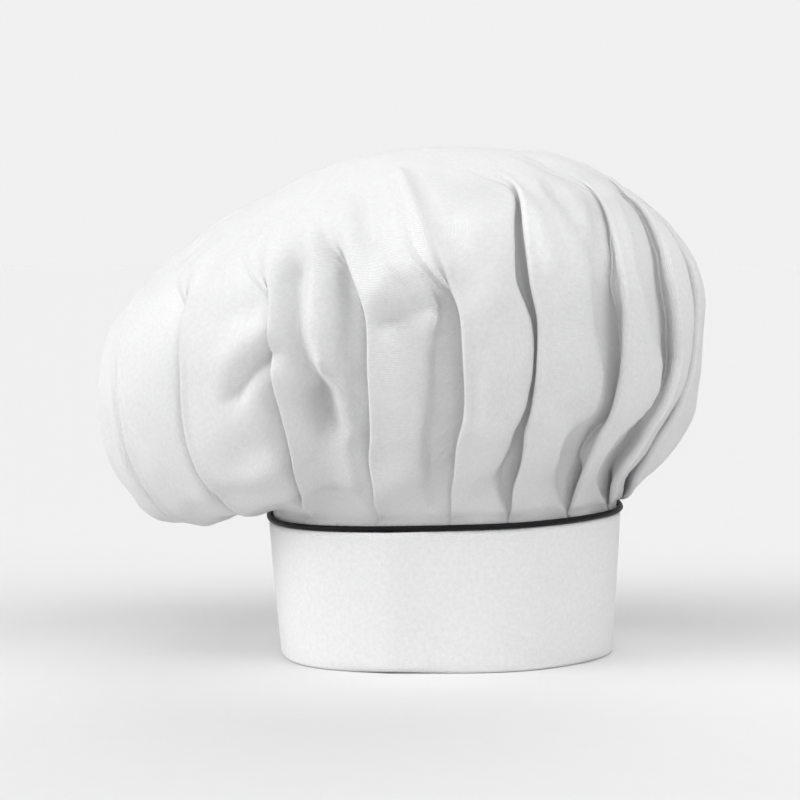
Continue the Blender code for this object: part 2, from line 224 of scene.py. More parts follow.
# (distance from the band's axis, height) at the right, front, left and back of each ring,
# and how square the ring still is.
CROWN_RINGS = (
    ((103.5, 89.5), (99.5, 89), (104.5, 83.5), (99.5, 89), 1),
    ((113.5, 97.5), (105, 98), (121, 78.5), (105, 98), 0.8),
    ((125, 109), (113, 109), (138, 72.8), (113, 110), 0.6),
    ((133.5, 123), (122, 124), (157, 73.5), (122, 126), 0.4),
    ((140.5, 141), (131, 139), (173, 81), (131, 142), 0.2),
    ((145, 176), (145, 173), (193, 108), (144, 176), 0),
    ((142.5, 211), (151, 207), (198.5, 144), (150, 210), 0),
    ((123.6, 243.5), (143, 239), (191.5, 180), (142, 240), 0),
    ((96.5, 266), (119, 260), (171.5, 208.5), (118, 260), 0),
    ((64, 281), (89, 272), (144.6, 232.3), (89, 272), 0),
    ((28.5, 285), (59, 278.5), (114, 252.5), (59, 278.5), 0),
    ((-7.5, 283.8), (30, 281), (80, 268), (30, 281), 0),
)
APEX_LEVEL = 2 + len(CROWN_RINGS)


def ring_points(values, angle):
    (right, right_z), (front, front_z), (left, left_z), (back, back_z), square = values
    turn = np.radians(angle)
    corner = superellipse(angle) ** square
    height = ((right_z + front_z + left_z + back_z) / 4
              + (right_z - left_z) / 2 * np.cos(turn)
              + (back_z - front_z) / 2 * np.sin(turn)
              + (right_z + left_z - front_z - back_z) / 4 * np.cos(2 * turn))
    return np.stack([(right - left) / 2 + (right + left) / 2 * np.cos(turn) * corner,
                     (back - front) / 2 + (back + front) / 2 * np.sin(turn) * corner,
                     height], -1)


def vent_rise(angle):
    """How far the crown's edge arches above the band over the rear vent."""
    share = (np.mod(angle, 360) - FLAP_START) / (SEAM_START - FLAP_START)
    return VENT_RISE * np.sin(math.pi * np.clip(share, 0, 1))


def key_rows(angle):
    """The crown at every whole level, with one row past the apex to lead over the top."""
    reach = band_radius(angle, band_top(angle)) - CROWN_RIM_INSET
    rim = band_top(angle) + CROWN_RIM_GAP
    rise = vent_rise(angle)
    rows = [radial(angle, reach, rim + rise),
            radial(angle, reach, rim + np.maximum(rise, CROWN_NECK))]
    rows += [ring_points(values, angle) for values in CROWN_RINGS]
    rows.append(np.broadcast_to(np.array(CROWN_APEX), rows[0].shape))
    rows.append(ring_points(CROWN_RINGS[-1], angle + 180))
    return np.stack(rows)


def crown_base(angle, level):
    """The crown's face without pleats, at arrays of bearings and levels."""
    rows = key_rows(angle)
    level = np.clip(level, 0, APEX_LEVEL)
    index = np.minimum(level.astype(int), len(rows) - 3)
    share = (level - index)[..., None]

    def pick(offset):
        at = np.clip(index + offset, 0, len(rows) - 1)
        return np.take_along_axis(rows, at[None, ..., None], 0)[0]

    before, here, there, after = pick(-1), pick(0), pick(1), pick(2)
    return 0.5 * (2 * here + (there - before) * share
                  + (2 * before - 5 * here + 4 * there - after) * share ** 2
                  + (3 * here - before - 3 * there + after) * share ** 3)


def crown_normal(angle, level):
    low = np.clip(level - 0.04, 0, APEX_LEVEL - 0.1)
    along = crown_base(angle, low + 0.08) - crown_base(angle, low)
    around = crown_base(angle + 0.8, level) - crown_base(angle - 0.8, level)
    out = np.cross(around, along)
    return out / np.maximum(np.linalg.norm(out, axis=-1, keepdims=True), 1e-9)


# ---- pleats
# The creases in view, left to right. Each stands over a gap on its left. Its stations give
# (level, bearing, gap in degrees, gap depth), its tip is the level where it fades out, and
# its roll is the share of the gap that the neighbour's rounded edge takes, its bulge is how
# full the face to its right is, its fold is how round its own edge is, and its lean is how
# much of the drop the whole neighbouring face takes, sloping down to it.
CREASES = (
    dict(tip=9.9, roll=0.5, bulge=1.2, fold=1, stations=(
        (0, 177, 0.5, 0.8), (1, 178, 0.5, 0.8), (3.5, 196, 4.5, 9), (5, 203, 6, 12),
        (6.5, 206.5, 6, 11), (8, 206.5, 4, 6), (9.2, 203, 2, 2))),
    dict(tip=9.4, roll=1, bulge=0.8, fold=1, stations=(
        (0, 200, 0.5, 0.8), (1, 203, 0.5, 0.8), (3.5, 219, 3, 4), (5, 223.5, 3, 5),
        (6.5, 225, 2.5, 4.5), (8, 227.5, 2, 3), (9, 228.5, 1.5, 1))),
    dict(tip=9, roll=1, bulge=1, fold=1, lean=0.4, stations=(
        (0, 222.5, 0.8, 0.8), (1, 225.5, 0.8, 0.8), (1.7, 228.5, 1.5, 1.5), (3, 234, 3, 3.5),
        (4.5, 240.3, 4, 5), (5.9, 244.2, 4.5, 7), (6.7, 246, 5, 8), (7.5, 246.4, 4, 5),
        (8, 247, 3, 3.5), (8.7, 247.3, 1.5, 1.2))),
    dict(tip=9.1, roll=0.5, bulge=1, fold=1, lean=0.6, stations=(
        (0, 246.5, 0.8, 0.8), (1, 247.8, 0.8, 0.8), (1.9, 249.3, 2, 2), (3.5, 253.8, 5, 5.5),
        (5, 257.8, 5.5, 8), (5.9, 260.3, 5.5, 10), (6.9, 263.3, 5.5, 12), (7.9, 264.2, 5, 12),
        (8.4, 263, 3.6, 10), (8.9, 261.8, 1.8, 5))),
    dict(tip=8.3, roll=0.2, bulge=1.4, fold=1, lean=0.3, stations=(
        (0, 270, 0.6, 0.8), (1, 270.3, 1.5, 0.8), (1.8, 270.6, 5.5, 2), (2.8, 272, 7, 5),
        (3.9, 273.8, 7.5, 10), (5.5, 277.3, 8, 13), (6.5, 279.8, 7.2, 14), (7.1, 280.4, 5.8, 14),
        (7.6, 280.4, 3.8, 12), (8, 279.6, 1.8, 6))),
    dict(tip=10.2, roll=0.5, bulge=2.2, fold=1.3, stations=(
        (0, 289, 0.5, 0.8), (1, 289, 0.6, 0.8), (2.3, 288.6, 3, 5), (3.5, 289, 5.8, 10),
        (4.6, 290.5, 3.5, 10), (5.8, 292, 1.8, 8), (6.6, 294, 1, 7), (7.2, 295, 1.2, 9),
        (8, 294.3, 2.8, 13), (8.7, 296, 2.2, 13), (9.4, 299, 1.2, 9), (9.9, 301, 0.5, 3))),
    dict(tip=10.3, roll=0.32, bulge=2.2, fold=1.8, stations=(
        (0, 312, 0.5, 0.8), (1, 311.5, 0.6, 0.8), (2, 309.5, 4, 5), (2.9, 308.5, 6, 9),
        (3.8, 308, 8, 12), (4.7, 309.5, 9.8, 12), (5.3, 311, 8, 10), (5.9, 312.3, 5, 9),
        (6.6, 314, 5.5, 12), (7.2, 314.5, 8.4, 14), (7.9, 314.5, 7.8, 12), (8.4, 316, 7, 7),
        (9.1, 320.5, 6.5, 4), (9.7, 324, 4, 2))),
    dict(tip=10.5, roll=0.35, bulge=2, fold=2.2, stations=(
        (0, 336, 0.5, 0.8), (1, 334.5, 0.6, 0.8), (2.2, 327, 3.5, 6), (3.1, 322.5, 6, 10),
        (3.8, 321.5, 9, 12), (4.7, 324.3, 10.5, 12), (5.7, 327.5, 7.5, 11), (6.3, 331, 5.5, 11),
        (6.8, 333, 8, 12), (7.4, 332.5, 12.5, 12), (8.1, 332.5, 14, 11), (8.7, 336, 14, 8),
        (9.4, 341, 12, 4.5), (10, 346, 8, 2))),
    dict(tip=9.7, roll=0.4, bulge=2, fold=2.2, stations=(
        (0, 350, 0.5, 0.8), (1, 348, 0.6, 0.8), (2.4, 338, 3, 6), (3.5, 331.5, 4, 8),
        (4.5, 331.5, 3.5, 9), (5.8, 337, 6, 10), (6.5, 342, 4.5, 10), (7.2, 344.5, 5, 10),
        (8, 345, 5, 8), (9, 350, 3, 4), (9.6, 355, 2, 2))),
)
HIDDEN_PLEATS = 7
HIDDEN_START = 342
HIDDEN_TWIST = ((0, 0), (1, 0.1), (3.5, 0.45), (5, 0.8), (6.5, 1), (9.5, 1))
HIDDEN_GAP = ((0, 0.5, 0.8), (1, 0.6, 0.8), (2.6, 3, 5), (4, 5, 9),
              (5.6, 4.5, 9.5), (7, 4.5, 9), (8.2, 4.5, 7.5), (9.3, 2.5, 3))
WIDEST_GAP = 0.85
USUAL_LEAN = 0.25
COLUMN_CROWDING = 0.55
# the level where the faces start to puff out or to flatten, and over how many levels
PUFF_RISE, PUFF_FALL = (2.2, 2.5), (8, 2)
LIP_WIDTH = 2.4
TIP_START, TIP_FADE = 0.8, 1.2
UNDERLAP = ((0, 22), (1, 22), (3, 18), (5, 14), (6.5, 9), (8, 5), (9, 2), (10, 0))
LAYER_GAP = ((0, 0.4), (1, 0.4), (2.5, 0.9), (5, 1.3), (9, 1.6))
FOLD_RADIUS = ((0, 0.2), (1, 0.2), (2.5, 0.5), (4, 0.8), (6.5, 1), (9, 1.2))
CREASE_LIP = ((0, 0), (1.2, 0.1), (2.2, 1.1), (4, 1.7), (7.5, 1.7), (9.5, 0.5))
FACE_SAG = ((0, 0), (1, 0), (1.9, 1.6), (2.8, 3.2), (3.8, 2), (5, 0))
FACE_COLUMNS, TUCK_COLUMNS = 22, 3


def curve(pairs, at):
    """A smooth curve through (position, value) pairs, level past both ends."""
    knots, values = np.array(pairs, float).T
    slope = np.gradient(values, knots)
    at = np.clip(at, knots[0], knots[-1])
    index = np.clip(np.searchsorted(knots, at, "right") - 1, 0, len(knots) - 2)
    width = knots[index + 1] - knots[index]
    share = (at - knots[index]) / width
    return ((2 * share ** 3 - 3 * share ** 2 + 1) * values[index]
            + (share ** 3 - 2 * share ** 2 + share) * width * slope[index]
            + (3 * share ** 2 - 2 * share ** 3) * values[index + 1]
            + (share ** 3 - share ** 2) * width * slope[index + 1])


def all_creases(levels):
    """Every crease's bearing, gap and depth at the mesh's rows, right round the crown."""
    creases = []
    for crease in CREASES:
        stations = np.array(crease["stations"])
        bearing, gap, depth = (curve(stations[:, (0, column)], levels) for column in (1, 2, 3))
        creases.append(dict(crease, bearing=bearing, gap=gap, depth=depth))
    foot = (CREASES[-1]["stations"][0][1], CREASES[0]["stations"][0][1] + 360)
    middle = (HIDDEN_START, CREASES[0]["stations"][4][1] + 360)
    gap = np.array(HIDDEN_GAP)
    for number in range(1, HIDDEN_PLEATS + 1):
        share = number / (HIDDEN_PLEATS + 1)
        start = foot[0] + share * (foot[1] - foot[0])
        turn = middle[0] + share * (middle[1] - middle[0]) - start
        sway = 1.5 * math.sin(2.4 * number) + 0.9 * np.sin(0.9 * levels + 1.3 * number)
        twist = curve(HIDDEN_TWIST, levels)
        wander = 1 + 0.3 * np.sin(1.7 * number + 0.8 * levels)
        creases.append(dict(
            tip=9.5 + 0.5 * math.sin(2.1 * number), roll=0.6, bulge=2, fold=1.8,
            bearing=start + (turn + sway) * twist, gap=curve(gap[:, (0, 1)], levels) * wander,
            depth=curve(gap[:, (0, 2)], levels)))
    return creases


def tip_closing(crease, levels):
    """How far a crease has faded out, from 0 below its tip to 1 above it."""
    return smooth((levels - crease["tip"] + TIP_START) / TIP_FADE)


def face_profile(share, width, gap, depth, levels, here, after):
    """Height of a pleat's face over the base, from its own crease to under the next one."""
    edge = np.maximum(gap * after["roll"], 0.6)
    dive = 1 - smooth(((1 - share) * width - gap + edge) / (1.15 * edge))
    lean = after.get("lean", USUAL_LEAN)
    dive = (1 - lean) * dive + lean * share ** 2
    puff = here["bulge"] * smooth((levels - PUFF_RISE[0]) / PUFF_RISE[1])
    puff = puff * (1 - smooth((levels - PUFF_FALL[0]) / PUFF_FALL[1]))
    lip = curve(CREASE_LIP, levels) * (1 - tip_closing(here, levels))
    lip = lip * np.exp(-(share * width / LIP_WIDTH) ** 2)
    return puff * 4 * share * (1 - share) + lip - depth * dive


def free_face(crease, following, scale):
    """How much of the face right of a crease stays up before it dives under the next one."""
    width = np.mod(following["bearing"] - crease["bearing"], 360) * scale
    return width - np.minimum(following["gap"] * scale, WIDEST_GAP * width) * 1.2


def half_turn(count):
    """Evenly spaced bends within a half turn, without its two ends."""
    return math.pi * np.arange(1, count + 1) / (count + 1)


def tucked_columns(width, under, layer, depth, radius, lip):
    """The cloth tucked under the next pleat: underlap, inner fold, return and rounded crease."""
    columns = []
    for share in np.arange(1, TUCK_COLUMNS + 1) / TUCK_COLUMNS:
        columns.append((width + share * under, -depth))
    for bend in half_turn(TUCK_COLUMNS):
        columns.append((width + under + 0.5 * layer * math.sin(bend),
                        -depth + 0.5 * layer * (1 - math.cos(bend))))
    for share in (np.arange(TUCK_COLUMNS) + 0.5) / TUCK_COLUMNS:
        columns.append((width + (1 - share) * under,
                        (layer - depth) * (1 - share) - 2 * radius * share))
    for bend in half_turn(TUCK_COLUMNS):
        columns.append((width - radius * math.sin(bend),
                        -radius * (1 + math.cos(bend)) + lip * bend / math.pi))
    return columns


def pleat_columns(here, after, following, levels):
    """Bearings and heights over the base of one pleat's columns, row by row."""
    start = here["bearing"]
    end = start + np.mod(after["bearing"] - start, 360)
    scale = np.linalg.norm(crown_base(end + 0.5, levels) - crown_base(end - 0.5, levels), axis=-1)
    width = np.maximum((end - start) * scale, 0.5)
    closing = tip_closing(after, levels)
    gap = np.minimum(np.maximum(after["gap"], 0.3) * scale, WIDEST_GAP * width)
    depth = np.maximum(after["depth"], 0.3) * (1 - closing)
    room = np.maximum(free_face(after, following, scale) - 2.5, 0.6)
    under = np.minimum(np.minimum(curve(UNDERLAP, levels), room), 0.5 * width) * (1 - closing)
    layer = np.minimum(curve(LAYER_GAP, levels), 0.5 * depth)
    radius = np.minimum(curve(FOLD_RADIUS, levels) * after["fold"], 0.24 * depth + 0.01)
    columns = []
    for share in np.linspace(0, 1, FACE_COLUMNS):
        share -= COLUMN_CROWDING * math.sin(2 * math.pi * share) / (2 * math.pi)
        columns.append((share * width, face_profile(share, width, gap, depth, levels, here, after)))
    columns += tucked_columns(width, under, layer, depth, radius,
                              curve(CREASE_LIP, levels) * (1 - closing))
    across, height = np.array(columns).transpose(1, 0, 2)
    within = np.where(across > width, across - width, across) / width
    height -= curve(FACE_SAG, levels) * np.sin(math.pi * np.clip(within, 0, 1)) ** 2
    even = (np.arange(len(across)) / len(across))[:, None] * width
    return start + (across * (1 - closing) + even * closing) / scale, height


# Soft valleys (below 0) and ridges (above 0) in the cloth between the creases:
# the half width, the height or the heights at both ends, and the route as (bearing, level).
SOFT_SHAPES = (
    (7, -12, (252, 8.9), (251, 8.1), (251.2, 7.6), (253, 6.8), (252, 6.2)),
    (12.5, (-16, -3), (252, 6.6), (250, 5.8), (246.5, 4.8), (242.5, 3.6), (238.5, 2.4)),
    (5, 5, (256, 9.3), (256, 8.4), (255.2, 7.9), (256, 7.2)),
    (4.5, -5, (261, 8.8), (260.3, 8.2), (260, 7.7), (259, 7.2)),
    (4.5, 2, (255, 7.3), (256, 6.7), (257, 6)),
    (4.5, -7, (238, 7.2), (242, 7.45), (246, 7.6)),
    (5, 3, (237, 7.75), (241, 7.9), (246, 8)),
    (7, -3, (238, 8.4), (244, 8.4)),
    (10, -3, (233, 6.2), (240, 6.3)),
    (8, -4, (267, 10.2), (267, 9.5), (267, 8.9)),
    (6, 5, (275, 10.4), (276, 9.3), (277.5, 8.7), (279, 8.25)),
    (7, 3.5, (266, 8.15), (270, 8.35), (275, 8.35)),
    (4.5, -3.5, (266.5, 7.6), (270, 7.7), (274, 7.75), (278, 7.8)),
    (11, (-8, -3), (270, 7.5), (272.5, 7), (272, 6.2), (269, 4.6), (264, 2.6)),
    (3, 1.5, (267, 7.5), (269, 7.15), (271, 6.7)),
    (8, 2, (283, 7.6), (284, 6.4), (282.5, 5.2)),
    (8, -3, (283, 3), (286, 4.2), (289, 5.2)),
    (9, 1.5, (285, 8.8), (287, 7.8)),
    (6, 3, (299, 9.6), (299.5, 8.9), (298.5, 8.2)),
    (5, -4.5, (309, 9.6), (308.5, 8.9), (309, 8.3)),
    (8, -3, (301, 5.8), (303, 4.2), (302, 3)),
    (4, -1.3, (231, 9.4), (236, 9.8), (245, 10.4), (251, 11)),
    (4, -1.3, (214, 9.9), (210, 10.6), (217, 11.2)),
    (4, -1.2, (219, 9.8), (224, 10.3), (232, 10.9)),
    (3.5, -1.3, (288, 10.9), (296, 10.7), (302, 10.3)),
    (3.5, -1.3, (322, 10.9), (320, 10.6), (317, 10.3)),
    (8, -3, (226, 5.4), (235, 4.6)),
    (9, -2.5, (212, 7.4), (216, 6.2), (214, 5)),
    (7, -3.5, (190, 6.5), (195, 7.6)),
    (8, -3.5, (40, 7), (45, 8.4)),
    (9, -4, (88, 6.4), (86, 8)),
    (8, -3.5, (132, 7.2), (128, 8.6)),
    (9, -3.5, (158, 5.6), (164, 7)),
)


def soft_shapes(base):
    """How far the soft valleys and ridges lift each point of the crown."""
    out = np.zeros(len(base))
    for width, amount, *route in SOFT_SHAPES:
        bearings, levels = np.array(route).T
        places = crown_base(bearings, levels)
        heights = np.linspace(*np.broadcast_to(amount, 2), len(route))
        nearest, height = np.full(len(base), 1e9), np.zeros(len(base))
        for number, start in enumerate(places[:-1]):
            run = places[number + 1] - start
            share = np.clip((base - start) @ run / (run @ run), 0, 1)
            away = np.square(base - start - share[:, None] * run).sum(axis=1)
            here = heights[number] + share * (heights[number + 1] - heights[number])
            height = np.where(away < nearest, here, height)
            nearest = np.minimum(nearest, away)
        out += height * np.exp(-nearest / width ** 2)
    return out


CROWN_WAVES = ((1.8, 30, 52, 0), (0.9, 13, 26, 7), (0.3, 5.5, 9, 3))
# the levels of the crown's rows of points, closer together in the pleats
ROW_LEVELS = np.concatenate([(0, 0.5, 1), np.arange(1.12, 8.6, 0.125),
                             np.linspace(8.66, APEX_LEVEL - 0.22, 26)])
PLEATED_ROWS = slice(3, 60)
TOP_ROW_REACH = 18


def cloth_of_crown(points, levels):
    """Flat coordinates on the disc that the crown is cut from."""
    rise = np.linalg.norm(np.diff(points, axis=0), axis=2).mean(axis=1)
    from_top = np.concatenate([np.cumsum(rise[::-1])[::-1], [0]]) + TOP_ROW_REACH
    around = np.linalg.norm(np.roll(points, -1, 1) - points, axis=2)
    around /= around.sum(axis=1, keepdims=True)
    pleated = around[PLEATED_ROWS].mean(axis=0)
    share = pleated + smooth((levels - 8) / 2.5)[:, None] * (around - pleated)
    turn = 2 * math.pi * (np.cumsum(share, axis=1) - share)
    return from_top[:, None, None] * np.stack([np.cos(turn), np.sin(turn)], -1)


def build_crown():
    """The gathered disc: knife pleats at the seam, puffed and drooping to the left."""
    levels = ROW_LEVELS
    creases = all_creases(levels)
    following = creases[1:] + creases[:2]
    columns = [pleat_columns(here, *following[number:number + 2], levels)
               for number, here in enumerate(creases)]
    angle, height = (np.concatenate(part).T for part in zip(*columns))
    rows, count = angle.shape
    level = np.broadcast_to(levels[:, None], angle.shape).ravel()
    base = crown_base(angle.ravel(), level)
    free = smooth((level - 1.4) / 2.5)
    lift = height.ravel() + free * soft_shapes(base) + free * unevenness(base, CROWN_WAVES)
    points = (base + crown_normal(angle.ravel(), level) * lift[:, None]).reshape(rows, count, 3)
    cloth = cloth_of_crown(points, levels)
    faces = grid_faces(rows, count, round_columns=True)
    top = rows * count
    faces += [(top - count + column, top - count + (column + 1) % count, top)
              for column in range(count)]
    crown = add_mesh("crown_cloth", np.vstack([points.reshape(-1, 3), CROWN_APEX]), faces,
                     np.vstack([cloth.reshape(-1, 2), [[0, 0]]]))
    thicken(crown, CLOTH)
    return crown


# ---- headband
FOLD_REACH = BAND_THICKNESS / 2
PRESSED_CREASE, CREASE_STAND, CREASE_WIDTH = 251, 3, 14
CREASE_RADIUS = 98
BAND_WAVES = ((0.55, 38, 70, 5), (0.18, 13, 16, 9))


def band_relief(angle, height, outer=True):
    """How far the band's cloth stands off its plain shape."""
    soft = unevenness([radial(angle, BAND_BOTTOM_RADIUS, height)], BAND_WAVES)[0]
    if not outer:
        return 0.5 * soft
    away = math.radians(angle - PRESSED_CREASE) * CREASE_RADIUS
    crease = CREASE_STAND * math.exp(-math.sqrt(away * away + 2) / CREASE_WIDTH)
    near_seam = math.exp(-(band_top(angle) - height) / 6)
    pucker = 0.28 * soft_noise(arc_length(angle) / 5.5, 3, height / 30)
    ends = smooth((angle - BAND_START - 1) / 4) * smooth((BAND_END - 1 - angle) / 4)
    return ends * (soft + crease + near_seam * (pucker - 0.15))


def folded_cloth(angle, rows, extra=0):
    """A folded sheet's points at one bearing, from (standoff, height, flat length) rows."""
    standoff, height, flat = np.array(rows).T
    cloth = np.stack([np.full(len(rows), arc_length(angle)), flat], -1)
    return band_point(angle, standoff + extra, height), cloth


def headband_section(angle):
    """The folded strip's middle surface at one bearing: down outside, round, up inside."""
    top = band_top(angle)
    half = CLOTH / 2 + 0.15
    end = smooth((angle - BAND_START) / 0.5)
    pinch = FOLD_REACH + (half - FOLD_REACH) * (0.45 + 0.55 * end)
    rows = [(-pinch + band_relief(angle, height), height, top - height)
            for height in np.linspace(top, FOLD_REACH, 27)]
    lift = 0.2 * (0.5 + 0.35 * soft_noise(arc_length(angle) / 30, 1, 8))
    reach = FOLD_REACH - half
    rows += [(-FOLD_REACH + reach * math.cos(bend),
              max(FOLD_REACH - reach * math.sin(bend), half + lift), top + bend)
             for bend in half_turn(7)]
    rows += [(-BAND_THICKNESS + pinch + band_relief(angle, height, outer=False), height,
              top + 4 + height) for height in np.linspace(FOLD_REACH, top, 20)]
    return folded_cloth(angle, rows)


def build_headband():
    angles = np.concatenate([[BAND_START, BAND_START + 0.15, BAND_START + 0.3],
                             steps(BAND_START + 0.5, BAND_END, 1.15)])
    return sweep("headband_cloth", angles, headband_section, sheet=True)


# ---- piping
PIPING_RADIUS = 1.6
PIPING_INSET = 0.3
PIPING_OPENING = 24


def piping_sheath(name, angles, offset):
    """A bias strip wrapped round the filler cord, open where its flange enters the seam."""

    def section(angle):
        top = band_top(angle)
        along = arc_length(angle)
        middle = band_radius(angle, top) + offset(angle)
        twist = 0.05 * soft_noise(along / 7, 0, 0)
        points, cloth = [], []
        for turn in np.linspace(-90 + PIPING_OPENING, 270 - PIPING_OPENING, 19):
            ridge = 0.07 * soft_noise(along / 3.2 + turn / 60, turn / 45, 2)
            reach = PIPING_RADIUS - CLOTH / 2 + twist + ridge
            bend = math.radians(turn)
            points.append(radial(angle, middle + reach * math.cos(bend),
                                 top + CLEARANCE + PIPING_RADIUS + reach * math.sin(bend)))
            cloth.append((along, bend * PIPING_RADIUS))
        return points, cloth

    return sweep(name, angles, section, sheet=True)


# ---- stitches
THREAD = 0.28
STITCH_SIDES = 6
BARTACK_ANGLE, BARTACK_PITCH = 1.2, 0.36
# (share of the stitch's length, height and fullness in thread radii) of each loop of points
STITCH_PROFILE = ((0, -0.9, 0.35), (0.12, 0, 0.8), (0.35, 0.25, 1), (0.65, 0.25, 1),
                  (0.88, 0, 0.8), (1, -0.9, 0.35))


def stitches(name, route, normal, pitch=2.8, gap=0.45, size=THREAD):
    """Separate lockstitches along a route: each dips into the cloth at both its ends."""
    route, normal = np.asarray(route, float), np.asarray(normal, float)
    run = running_length(route)

    def read(values, at):
        return np.array([np.interp(at, run, values[:, axis]) for axis in range(3)])

    count, loops = max(1, int(run[-1] / pitch)), len(STITCH_PROFILE)
    points, faces, cloth = [], [], []
    for number in range(count):
        start = run[-1] * number / count + gap / 2
        end = run[-1] * (number + 1) / count - gap / 2
        first = len(points)
        for share, sink, fat in STITCH_PROFILE:
            at = start + share * (end - start)
            out = read(normal, at)
            out /= np.linalg.norm(out)
            side = np.cross(read(route, at + 0.1) - read(route, at - 0.1), out)
            side /= np.linalg.norm(side)
            for turn in 2 * math.pi * np.arange(STITCH_SIDES) / STITCH_SIDES:
                points.append(read(route, at) + out * size * (sink + 0.8 * fat * math.sin(turn))
                              + side * size * fat * math.cos(turn))
                cloth.append((at, turn * size))
        ends = [range(STITCH_SIDES), range((loops - 1) * STITCH_SIDES, loops * STITCH_SIDES)]
        faces += [tuple(first + index for index in face)
                  for face in grid_faces(loops, STITCH_SIDES, round_columns=True) + ends]
    thread = add_mesh(name, points, faces, cloth)
    face_outwards(thread)
    return thread


def sew(name, route, node, body="hat_body", **spacing):
    """Sew a row of stitches along a route, in the place of a node of the frame."""
    finish_piece(stitches(name, *route, **spacing), "thread", node, body)


def seam_route(angle, standoff, height):
    """A route on the band or the flap, with the way out of the cloth along it."""
    return band_point(angle, standoff, height), radial(angle, math.copysign(1, standoff), 0)


def level_route(start, end, standoff, height):
    """A route round the band at heights given by a function of the bearing."""
    angles = steps(start, end, 1)
    return seam_route(angles, standoff, height(angles))


def rectangle_route(start, end, low, high, standoff):
    """A closed rectangle of stitching on the band's or the flap's face."""
    along, up = steps(start, end, 1), np.linspace(low, high, 12)
    angle = np.concatenate([along, np.full(10, end), along[::-1], np.full(11, start)])
    height = np.concatenate([np.full(len(along), low), up[1:-1], np.full(len(along), high),
                             up[-2::-1]])
    return seam_route(angle, standoff, height)


def bartack(side, start, low, high, standoff):
    """A dense block of zigzag stitches across the end of an opening."""
    route = []
    for number, height in enumerate(np.arange(low, high, BARTACK_PITCH)):
        ends = (0, BARTACK_ANGLE) if number % 2 else (BARTACK_ANGLE, 0)
        route += [band_point(start + end, standoff, height) for end in ends]
    normal = [radial(start, -1, 0)] * len(route)
    sew("bartack_threads_" + side, (route, normal), "vent_bartack_" + side, pitch=2.1, gap=0.02,
        size=0.2)


# ---- seam inside
BINDING_INSET = 3.5
BINDING_THICKNESS = 0.7
BINDING_BELOW, BINDING_ABOVE = 8, 4
HEM_HEIGHT = 3
TAPE_TOP_STITCH = 2


def tape_section(middle, half, low, high, rows, edge, least, waver=0):
    """A flat strip along the band, which thins towards its long edges and may ripple.

    middle is how far it stands off the band's outer face, half its half thickness, low and high
    its edges as functions of the bearing, and edge and least where and how much it thins.
    """

    def section(angle):
        bottom, top = low(angle), high(angle)
        along = arc_length(angle)
        points, cloth = [], []
        for side in (1, -1):
            for height in np.linspace(bottom, top, rows)[::side]:
                near_edge = min(height - bottom, top - height)
                thick = half * math.sqrt(max(least, min(1, near_edge / edge)))
                ripple = max(waver * soft_noise(along / 4.5, height / 9, 4), 0)
                points.append(band_point(angle, middle + side * thick - ripple, height))
                cloth.append((along, height))
        return points, cloth

    return section


def seam_tape(name, start, end, low, high, rows):
    """A length of binding tape on the inside of the crown's seam."""
    half = BINDING_THICKNESS / 2
    return sweep(name, steps(start, end, 1), tape_section(
        -BINDING_INSET - half, half, low, high, rows, edge=half / 1.2, least=0.12, waver=0.12))


def build_seam_inside():
    binding = seam_tape("binding_tape", SEAM_START, BINDING_END,
                        lambda angle: band_top(angle) - BINDING_BELOW,
                        lambda angle: band_top(angle) + BINDING_ABOVE, rows=12)
    finish_piece(binding, "tape", "crown_seam_binding")
    face = -(BINDING_INSET + BINDING_THICKNESS + 0.1)
    route = level_route(SEAM_START + 2.4, BINDING_END - 2.4, face,
                        lambda angle: band_top(angle) - BINDING_BELOW + TAPE_TOP_STITCH)
    sew("binding_stitches", route, "crown_seam_stitching")
    for side, start in (("right", SEAM_START + 0.3), ("left", BINDING_END - 1.5)):
        top = band_top(start)
        bartack(side, start, top - 4, top + 3, face - 0.1)

    def crown_edge(angle):
        return band_top(angle) + CROWN_RIM_GAP + vent_rise(angle)

    hem = seam_tape("vent_hem_cloth", FLAP_START, SEAM_START - 0.4, crown_edge,
                    lambda angle: crown_edge(angle) + HEM_HEIGHT, rows=8)
    finish_piece(hem, "band", "vent_hem")


# ---- rear closure
FLAP_JOG = (60.9, 65.6)
FLAP_ROOT_INSET = 2.7
FLAP_STANDOFF = 2.5
FLAP_THICKNESS = 2.4
FLAP_BOTTOM = 0.5
FLAP_REACH = 107
FLAP_WAVES = ((0.16, 16, 24, 2),)
FLAP_ROOT = BAND_END - 360
ROOT_GAP = 0.03
FLAP_BEND = (60.05, 62.8)
STRIP_THICKNESS = 0.8
LOOP_STRIP = (80, 105)
HOOK_STRIP = (94, 104.6)
STRIP_LOW, STRIP_HIGH = 10, 68
STRIP_RADIUS, STRIP_MARGIN = 100, 1.2
STITCH_INSET = 2
# A strip's hooks or loops: half width, spacing, looseness and seed, and the outline of one.
TUFTS = {
    "hook": (0.13, 1.15, 0.1, 11, ((0, 0), (0, 0.6), (0.15, 0.9), (0.45, 1), (0.7, 0.85),
                                   (0.75, 0.6))),
    "loop": (0.1, 0.95, 0.45, 12, ((-0.5, 0), (-0.6, 0.5), (-0.3, 0.9), (0.1, 1), (0.45, 0.7),
                                   (0.5, 0))),
}


def jog_share(angle):
    """How far the flap has stepped out over the band's end, from 0 to 1."""
    return smooth((angle - FLAP_JOG[0]) / (FLAP_JOG[1] - FLAP_JOG[0]))


